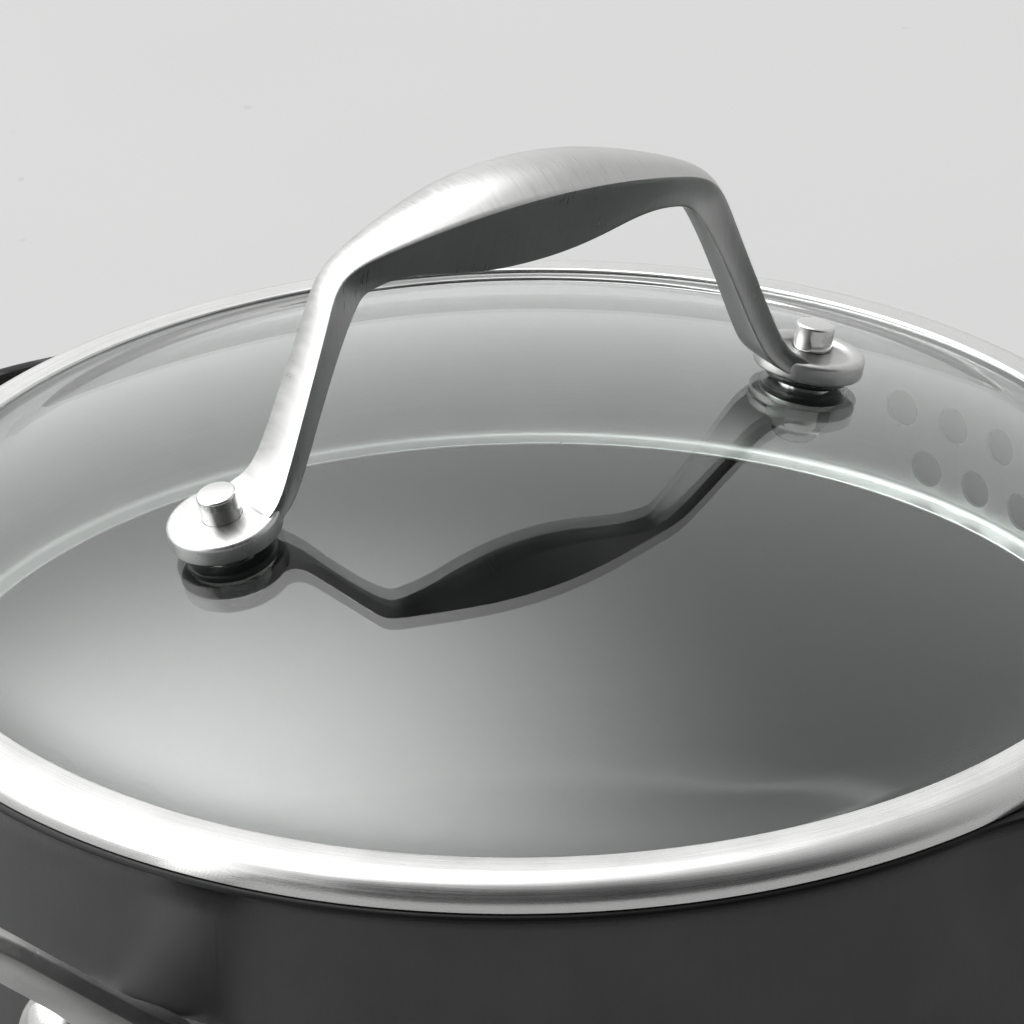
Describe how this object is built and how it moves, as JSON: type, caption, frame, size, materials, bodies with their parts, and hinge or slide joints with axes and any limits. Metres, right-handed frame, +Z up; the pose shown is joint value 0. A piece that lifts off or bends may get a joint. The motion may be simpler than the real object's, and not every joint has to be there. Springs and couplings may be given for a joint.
{
  "type": "straining saucepan with glass lid",
  "caption": "Straight-sided saucepan with two pouring spouts, a riveted long handle and a lift-off domed glass lid that has an arched handle and a perforated straining skirt.",
  "frame": {"origin": "centre of the pan's flat base, on the surface it stands on", "axes": "+Z up, +X along the long handle, the pouring spouts face +Y and -Y"},
  "size_m": [0.3974, 0.23, 0.1664],
  "materials": {
    "anodised": "satin hard-anodised, dark grey",
    "cast_steel": "satin cast stainless",
    "rivet": "polished stainless",
    "glass": "clear, polished, faint grey-green",
    "silicone": "black, matt",
    "ring_steel": "bright satin stainless",
    "skirt_steel": "stainless brushed round the band",
    "handle_steel": "satin stainless, brushed",
    "stud_steel": "turned and polished stainless",
    "clear_washer": "dark, glossy",
    "washer_steel": "pressed stainless",
    "nut_steel": "polished stainless"
  },
  "bodies": {
    "pan": {"pan_body": "anodised", "long_handle": "cast_steel", "handle_rivet_left": "rivet", "handle_rivet_right": "rivet", "handle_rivet_lower": "rivet"},
    "lid": {"glass_dome": "glass", "glass_seal": "silicone", "lid_ring": "ring_steel", "strainer_skirt": "skirt_steel", "lid_handle": "handle_steel", "handle_stud_front": "stud_steel", "handle_stud_back": "stud_steel", "clear_washer_front": "clear_washer", "clear_washer_back": "clear_washer", "glass_bush_front": "silicone", "glass_bush_back": "silicone", "under_washer_front": "silicone", "under_washer_back": "silicone", "backing_washer_front": "washer_steel", "backing_washer_back": "washer_steel", "cap_nut_front": "nut_steel", "cap_nut_back": "nut_steel"}
  },
  "joints": [
    {"name": "lid_lift", "type": "slide", "parent": "pan", "child": "lid", "axis": [0, 0, 1], "range_m": [0, 0.08]}
  ]
}
